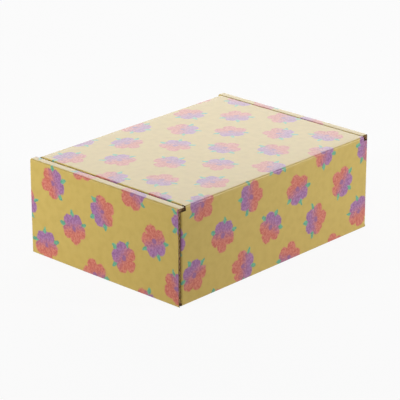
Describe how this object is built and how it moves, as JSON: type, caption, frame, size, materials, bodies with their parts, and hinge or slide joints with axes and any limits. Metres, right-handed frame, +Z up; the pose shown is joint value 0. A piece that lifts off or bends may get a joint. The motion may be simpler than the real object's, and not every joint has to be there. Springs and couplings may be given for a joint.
{
  "type": "mailer box",
  "caption": "Closed corrugated mailer box folded from one printed sheet, with rolled sides and a tuck-in lid that opens.",
  "frame": {"origin": "centre of the footprint on the surface that the box stands on", "axes": "+X along the length, from rolled side to rolled side; +Y towards the back wall that carries the lid crease; +Z up"},
  "size_m": [0.3, 0.212, 0.106],
  "materials": {
    "printed_board": "satin"
  },
  "bodies": {
    "tray": {"tray": "printed_board"},
    "lid": {"lid": "printed_board"}
  },
  "joints": [
    {"name": "lid_hinge", "type": "hinge", "parent": "tray", "child": "lid", "pos_m": [0, 0.106, 0.106], "axis": [-1, 0, 0], "range_deg": [0, 205]}
  ]
}
